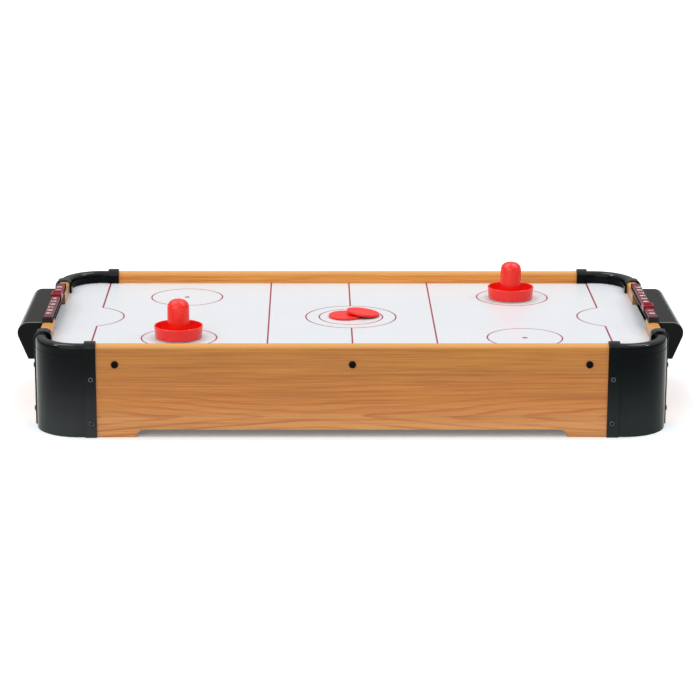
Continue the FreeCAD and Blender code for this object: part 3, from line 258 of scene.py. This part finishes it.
def printed_playfield(name):
    """White laminate with red rink lines."""
    p = Paint(name)
    print_shift, edge = 0.001, 0.0002
    thin, thick, goal_width = 0.00085, 0.0009, 0.001
    x, y = (p.x - print_shift).abs(), p.y.abs()

    def stroke(distance, half):
        """1 on a line, given the distance from its middle and half its width."""
        return 1.0 - distance.abs().ramp(half - edge, half + edge)

    def reach(cx, cy):
        """The distance from a point and from its mirror images."""
        dx, dy = x - cx, y - cy
        return (dx * dx + dy * dy).root()

    middle = reach(0.0, 0.0)
    outer_ring, inner_ring, zone_line = 0.0522, 0.0368, 0.0948
    marks = [
        stroke(middle - outer_ring, thin),
        stroke(middle - inner_ring, thin),
        stroke(x, thick) * middle.above(outer_ring),
        stroke(x - zone_line, thick),
    ]
    spot, circle, dot, dot_edge = (0.1942, 0.097), 0.0422, 0.0031, 0.0003
    face_off = reach(*spot)
    marks += [
        stroke(face_off - circle, thin),
        1.0 - face_off.ramp(dot - dot_edge, dot + dot_edge),
    ]
    goal_line, half_mouth, bulge = 0.2906, 0.0435, 0.02775
    arc = (half_mouth ** 2 + bulge ** 2) / (2 * bulge)
    crease = reach(goal_line - bulge + arc, 0.0)
    marks += [
        stroke(crease - arc, thin) * x.below(goal_line),
        stroke(x - goal_line, goal_width) * y.above(half_mouth),
    ]
    ink = marks[0]
    for mark in marks[1:]:
        ink = ink.at_least(mark)
    ink = ink * p.facing()[2].above(0.5)
    cloud = p.noise(14.0, 3, 0.5)
    white = p.mix(cloud, srgb(206, 209, 213), srgb(210, 213, 217))
    press = p.noise(700.0, 2, 0.5).ramp(0.25, 0.7)
    red = p.mix(press, srgb(154, 28, 42), srgb(138, 20, 34))
    color = p.mix(ink, white, red)
    return p.finish(color, cloud * 0.06 + 0.3, IOR=1.5, Specular_IOR_Level=0.4)


def moulded(name, color, shade, rough, specular=0.5, grain=1400.0, depth=0.1,
            painted_floor_light=None, polish=None, wear_and_edge_highlight=None):
    """Moulded plastic: faint mottling in colour and gloss, and a fine grain.

    Towards the floor it can be mixed to a given lighter colour: painted light from the floor.
    polish is how much glossier the rolled top is, where hands rub it. The edges between the top
    and the ends can take a given colour: a painted highlight."""
    p = Paint(name)
    floor_light_from, floor_light_to = -0.03, 0.09
    roll_start, roll_full = 0.099, 0.104
    cloud = p.noise(45.0, 4, 0.6)
    grains = p.noise(grain, 2, 0.5)
    tone = p.mix((cloud * 0.7 + grains * 0.3).clamp(), shade, color)
    # Painted light from the floor: lighter towards the bottom, in a given colour.
    if painted_floor_light:
        tone = p.mix((1.0 - p.z.ramp(floor_light_from, floor_light_to)) * (cloud * 0.4 + 0.7), tone, painted_floor_light)
    # Painted highlight on the rounded edges between the top and the ends.
    if wear_and_edge_highlight:
        _, ny, nz = p.facing()
        tone = p.mix((ny * nz).abs().ramp(0.12, 0.35) * 0.8, tone, wear_and_edge_highlight)
    if polish:
        gloss = p.z.ramp(roll_start, roll_full) * polish + specular
        p.feed(gloss, p.shader.inputs["Specular IOR Level"])
    p.bump(grains, depth, 0.0002)
    return p.finish(tone, cloud * 0.1 + (rough - 0.05), IOR=1.5, Specular_IOR_Level=specular)


def metal(name, color, shade, rough):
    """Plated or bare metal with faint upright marks."""
    p = Paint(name)
    marks = p.noise(1.0, 3, 0.6, p.vector(p.x * 900.0, p.y * 900.0, p.z * 120.0))
    tone = p.mix(marks, shade, color)
    p.bump(marks, 0.08, 0.0001)
    return p.finish(tone, marks * 0.18 + (rough - 0.09), Metallic=1.0)


def ringed_screws(name, across, along, heights, recess):
    """Black nickel heads, with painted shade in their recesses, at the given places in each
    quarter.
    """
    p = Paint(name)

    def near(value, target):
        return (value.abs() - target) * (value.abs() - target)

    # Painted shade in the middle of each head, where its recess is.
    level = near(p.z, heights[0]).at_most(near(p.z, heights[1]))
    aside = near(p.x, along).at_most(near(p.y, across))
    painted_recess_shade = (level + aside).root().below(recess)
    marks = p.noise(1200.0, 3, 0.6)
    tone = p.mix(marks, srgb(50, 50, 52), srgb(90, 90, 92))
    p.bump(marks, 0.05, 0.0001)
    return p.finish(p.mix(painted_recess_shade, tone, srgb(12, 12, 12)), marks * 0.1 + 0.14, Metallic=1.0)


def raw_timber(name, color, shade, along_x):
    """Plain softwood: fine streaks along the grain, and growth rings."""
    p = Paint(name)
    along, across = (p.x, p.y) if along_x else (p.y, p.x)
    streak = p.noise(1.0, 4, 0.6, p.vector(along * 9.0, across * 260.0, p.z * 260.0))
    wander = p.noise(18.0, 2, 0.5) * 1.6
    rings = (across * 170.0 + p.z * 120.0 + wander).fraction().ramp(0.4, 0.95)
    tone = p.mix((streak * 0.7 + rings * 0.3).clamp(), color, shade)
    p.bump(streak, 0.3, 0.0004)
    return p.finish(tone, streak * 0.1 + 0.62)


def pressed_board(name, color, shade):
    """Hardboard: felted fibres, smooth on one side."""
    p = Paint(name)
    fibre = p.noise(1.0, 5, 0.7, p.vector(p.x * 900.0, p.y * 500.0, p.z * 900.0))
    cloud = p.noise(25.0, 3, 0.5)
    tone = p.mix((fibre * 0.6 + cloud * 0.4).clamp(), shade, color)
    p.bump(fibre, 0.25, 0.0003)
    return p.finish(tone, fibre * 0.15 + 0.55)


def felt(name, color, shade):
    """Matted fibres, with a soft sheen."""
    p = Paint(name)
    fibre = p.noise(2200.0, 5, 0.8, distortion=1.5)
    cloud = p.noise(160.0, 3, 0.6)
    tone = p.mix((fibre * 0.6 + cloud * 0.4).clamp(), shade, color)
    p.bump(fibre, 0.9, 0.0006)
    return p.finish(tone, fibre * 0.06 + 0.88, Sheen_Weight=0.5, Sheen_Roughness=0.4)


# The black mouldings are painted lighter towards the floor: painted light from the floor.
BLACK = moulded("black moulding", srgb(8, 11, 12), srgb(5, 7, 8), rough=0.13, specular=0.07,
                depth=0.02, painted_floor_light=srgb(58, 61, 61), polish=0.26)
# A darker copy of the black moulding, with less painted floor light: painted shade for the front
# right bracket.
BLACK_SHADED = moulded("shaded black moulding", srgb(5, 9, 9), srgb(3, 6, 6), rough=0.13,
                      specular=0.05, depth=0.02, painted_floor_light=srgb(44, 51, 51), polish=0.28)
# The goal box's pale top edges are a painted highlight.
GOAL = moulded("goal box plastic", srgb(17, 19, 15), srgb(10, 11, 9), rough=0.2, specular=0.07,
               depth=0.06, wear_and_edge_highlight=srgb(118, 120, 114))
HOLDER = moulded("scorer holder plastic", srgb(26, 20, 20), srgb(18, 14, 14), rough=0.4,
                 specular=0.3)
BURGUNDY = moulded("number bar plastic", srgb(112, 26, 48), srgb(94, 20, 38), rough=0.36,
                   specular=0.4)
SLIDER = moulded("slider plastic", srgb(150, 14, 40), srgb(128, 10, 32), rough=0.26,
                 specular=0.4)
RED = moulded("red plastic", srgb(240, 34, 20), srgb(230, 28, 16), rough=0.25, depth=0.01)
PUCK = moulded("puck plastic", srgb(242, 42, 34), srgb(226, 34, 28), rough=0.4, specular=0.4,
               grain=900.0, depth=0.12)
FAN = moulded("fan plastic", srgb(38, 38, 40), srgb(28, 28, 30), rough=0.42, depth=0.2)
JACKET = moulded("lead jacket", srgb(34, 34, 36), srgb(22, 22, 24), rough=0.5, depth=0.2)
SCREW_BLACK = moulded("black screw", srgb(8, 8, 8), srgb(4, 4, 4), rough=0.16, specular=0.06,
                      depth=0.03)
SCREW_NICKEL = ringed_screws("black nickel", across=0.1215, along=0.2855,
                             heights=(0.0164, 0.0664), recess=0.0014)
ZINC = metal("zinc plate", srgb(196, 198, 202), srgb(160, 162, 166), rough=0.34)
BRONZE = metal("sintered bronze", srgb(176, 138, 84), srgb(140, 104, 60), rough=0.5)
IRON = metal("motor iron", srgb(120, 120, 124), srgb(84, 84, 88), rough=0.5)
PINE, PINE_SHADE = srgb(214, 184, 138), srgb(184, 148, 102)
TIMBER_X = raw_timber("plain timber along", PINE, PINE_SHADE, along_x=True)
TIMBER_Y = raw_timber("plain timber across", PINE, PINE_SHADE, along_x=False)
HARDBOARD = pressed_board("hardboard", srgb(140, 98, 60), srgb(112, 76, 46))
FELT = felt("pusher felt", srgb(226, 224, 216), srgb(190, 188, 180))

FINISHES = {
    # The panels take lit and shaded copies of one foil, lighter at the back and the ends: painted
    # light.
    "front_panel": wood_foil("front foil", along_x=True, seed=0.0, waist=-0.042, tone=0.95),
    "back_panel": wood_foil("back foil", along_x=True, seed=7.3, waist=0.09, tone=1.8),
    "left_end_panel": wood_foil("left foil", along_x=False, seed=3.1, waist=0.02, tone=1.3),
    "right_end_panel": wood_foil("right foil", along_x=False, seed=5.7, waist=-0.03, tone=1.3),
    "playfield": printed_playfield("printed laminate"),
    # The front right bracket takes the darker copy of the black moulding: painted shade.
    "corner_bracket": BLACK, "corner_bracket_front_right": BLACK_SHADED, "goal_box": GOAL,
    "scorer_holder": HOLDER, "number_bar": BURGUNDY, "score_slider": SLIDER,
    "pusher_felt": FELT, "pusher": RED, "puck": PUCK,
    "front_batten": TIMBER_X, "back_batten": TIMBER_X, "left_batten": TIMBER_Y,
    "right_batten": TIMBER_Y, "cross_batten": TIMBER_Y, "plenum_base_screws": ZINC,
    "plenum_base": HARDBOARD, "bracket_screws": SCREW_NICKEL, "panel_screws": SCREW_BLACK,
    "control_plate_screws": SCREW_BLACK, "goal_box_screws": ZINC, "scorer_screws": ZINC,
    "fan_screws": ZINC, "fan_nuts": ZINC, "fan_shaft": ZINC, "fan_bearing": BRONZE,
    "fan_stator": IRON, "fan_magnet": IRON, "fan": FAN, "control_plate": FAN, "switch": FAN,
    "power_inlet_nut": ZINC, "power_inlet": FAN, "lead_clips": FAN, "fan_lead": JACKET,
    "inlet_lead": JACKET,
}


def finish_for(name):
    """The finish whose key is the longest start of the node's name."""
    return FINISHES[max((key for key in FINISHES if name.startswith(key)), key=len)]


for name, item in nodes.items():
    item.data.materials.clear()
    item.data.materials.append(finish_for(name))


# ---- numerals on the number bars ----

NUMERAL_PITCH = 0.0142
FIRST_NUMERAL = 0.064
NUMERAL_HEIGHT = 0.0088
STROKE_FATTER = 0.00025
INK_THICKNESS = 0.00006
INK_LIFT = 0.00004


def numeral_paint():
    """Pale ink, a little uneven."""
    p = Paint("numeral ink")
    wear_and_edge_highlight = p.noise(1500.0, 3, 0.6)
    tone = p.mix(wear_and_edge_highlight.ramp(0.3, 0.7), srgb(236, 226, 226), srgb(214, 196, 198))
    p.bump(wear_and_edge_highlight, 0.1, 0.0001)
    return p.finish(tone, wear_and_edge_highlight * 0.1 + 0.45)


def numeral(name, number, place, turn):
    """One printed digit, made as text and kept as a mesh."""
    text = bpy.data.curves.new(name, "FONT")
    text.body = str(number)
    text.align_x, text.align_y = "CENTER", "CENTER"
    text.size = NUMERAL_HEIGHT
    text.offset = STROKE_FATTER
    text.extrude = INK_THICKNESS
    text.resolution_u = 4
    label = bpy.data.objects.new(name, text)
    bpy.context.scene.collection.objects.link(label)
    label.location = place
    label.rotation_euler = (0, 0, turn)
    bpy.context.view_layer.update()
    mesh = bpy.data.meshes.new_from_object(label)
    piece = bpy.data.objects.new(name, mesh)
    piece.matrix_world = label.matrix_world
    bpy.context.scene.collection.objects.link(piece)
    bpy.data.objects.remove(label)
    return piece


INK = numeral_paint()
for side, sign in (("left", -1), ("right", 1)):
    low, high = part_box(f"number_bar_{side}")
    middle = (low + high) / 2
    for number in range(10):
        across = -sign * (FIRST_NUMERAL - NUMERAL_PITCH * number)
        place = (middle.x, across, high.z + INK_LIFT)
        piece = numeral(f"numeral_{side}_{number}", number, place, -sign * math.pi / 2)
        piece.data.materials.clear()
        piece.data.materials.append(INK)
        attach(piece, "table")


# ---- floor, light and camera ----

FLOOR_REACH = 40.0
LAMP_DISTANCE = 3.0
CAMERA_AT = (-0.0444, -2.8653, 0.8072)
PITCH, YAW, ROLL = (math.radians(angle) for angle in (14.78, 0.89, 0.23))
LENS_MM, SENSOR_MM, FAR_CLIP = 130.96, 36.0, 100.0
HORIZON_LIGHT, ZENITH_LIGHT = 0.24, 1.06
LIGHTS = (
    # the light's name, the way to it, its power and its width in degrees
    ("left light", (-0.34, 0.2, 0.9), 0.62, 24),
    ("right light", (0.34, 0.2, 0.9), 0.62, 24),
    ("left lamp", (-0.68, -0.07, 0.72), 0.34, 7),
    ("right lamp", (0.68, -0.07, 0.72), 0.34, 7),
    ("front light", (-0.45, -0.84, 0.3), 0.92, 50),
)


def studio_floor():
    """Pale floor with a faint glow of its own, as a lit white sweep has."""
    p = Paint("studio floor")
    cloud = p.noise(0.8, 2, 0.5)
    tone = p.mix(cloud, (0.9, 0.925, 0.94), (0.92, 0.945, 0.96))
    mesh = bpy.data.meshes.new("floor")
    quarters = (-1, -1), (1, -1), (1, 1), (-1, 1)
    corners = [(x * FLOOR_REACH, y * FLOOR_REACH, 0) for x, y in quarters]
    mesh.from_pydata(corners, [], [(0, 1, 2, 3)])
    p.link(tone, p.shader.inputs["Emission Color"])
    mesh.materials.append(p.finish(tone, 0.9, Emission_Strength=0.14))
    floor = bpy.data.objects.new("floor", mesh)
    bpy.context.scene.collection.objects.link(floor)


def broad_light(name, towards, power, angle):
    """A soft light that is the same all over the scene, given the way to it."""
    light = bpy.data.lights.new(name, "SUN")
    light.energy = power
    light.angle = math.radians(angle)
    lamp = bpy.data.objects.new(name, light)
    lamp.location = Vector(towards) * LAMP_DISTANCE
    lamp.rotation_euler = Vector(towards).to_track_quat("Z", "Y").to_euler()
    bpy.context.scene.collection.objects.link(lamp)


def camera():
    """A long lens in front of the table and above it, aimed by its pitch, yaw and roll."""
    forward = Vector((
        math.sin(YAW) * math.cos(PITCH), math.cos(YAW) * math.cos(PITCH), -math.sin(PITCH),
    ))
    level = Vector((math.cos(YAW), -math.sin(YAW), 0))
    upright = level.cross(forward)
    right = math.cos(ROLL) * level + math.sin(ROLL) * upright
    up = math.cos(ROLL) * upright - math.sin(ROLL) * level
    data = bpy.data.cameras.new("camera")
    data.sensor_width = SENSOR_MM
    data.lens = LENS_MM
    data.clip_end = FAR_CLIP
    item = bpy.data.objects.new("camera", data)
    turn = Matrix((right, up, -forward)).transposed().to_4x4()
    item.matrix_world = Matrix.Translation(CAMERA_AT) @ turn
    bpy.context.scene.collection.objects.link(item)
    bpy.context.scene.camera = item


def studio_world(horizon, zenith):
    """White light from all round, dimmer near the horizon."""
    full_height = 0.9
    world = bpy.data.worlds.new("studio")
    world.use_nodes = True
    tree = world.node_tree
    split = tree.nodes.new("ShaderNodeSeparateXYZ")
    level = tree.nodes.new("ShaderNodeMapRange")
    level.interpolation_type = "SMOOTHSTEP"
    level.inputs["From Min"].default_value = 0.0
    level.inputs["From Max"].default_value = full_height
    level.inputs["To Min"].default_value = horizon
    level.inputs["To Max"].default_value = zenith
    tree.links.new(tree.nodes.new("ShaderNodeTexCoord").outputs["Generated"], split.inputs[0])
    tree.links.new(split.outputs["Z"], level.inputs["Value"])
    background = tree.nodes["Background"]
    background.inputs["Color"].default_value = (1, 1, 1, 1)
    tree.links.new(level.outputs["Result"], background.inputs["Strength"])
    bpy.context.scene.world = world


studio_floor()
studio_world(HORIZON_LIGHT, ZENITH_LIGHT)
for light_name, way, power, width in LIGHTS:
    broad_light(light_name, way, power, width)
camera()
bpy.context.scene.view_settings.view_transform = "Standard"
